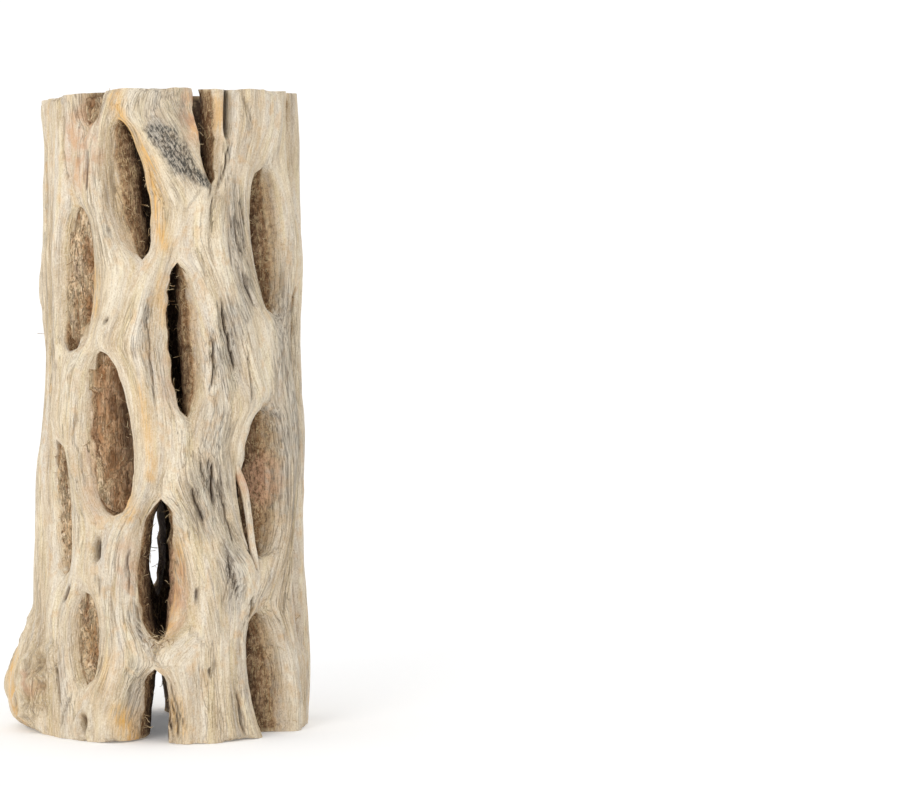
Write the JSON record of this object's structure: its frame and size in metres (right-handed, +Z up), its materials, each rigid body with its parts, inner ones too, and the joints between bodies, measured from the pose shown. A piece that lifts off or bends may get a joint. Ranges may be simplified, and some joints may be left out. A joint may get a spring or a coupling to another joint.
{
  "type": "cholla cactus skeleton",
  "caption": "Sawn upright length of dried cholla cactus wood: a hollow cylinder of interwoven strands pierced by staggered spindle-shaped windows, with a branch stub low on one side.",
  "frame": {"origin": "middle of the bottom of the box round the log, on the lower saw cut; the log's own axis passes 3 mm towards +X of it, because the branch stub widens the box on the left", "axes": "+Z up along the log, -Y towards the front with the window that shows right through the log, -X towards the branch stub"},
  "size_m": [0.0712, 0.064, 0.152],
  "materials": {
    "weathered_wood": "dry, sun-bleached, fibrous, unfinished"
  },
  "bodies": {
    "root": {"cholla_skeleton": "weathered_wood"}
  },
  "joints": []
}
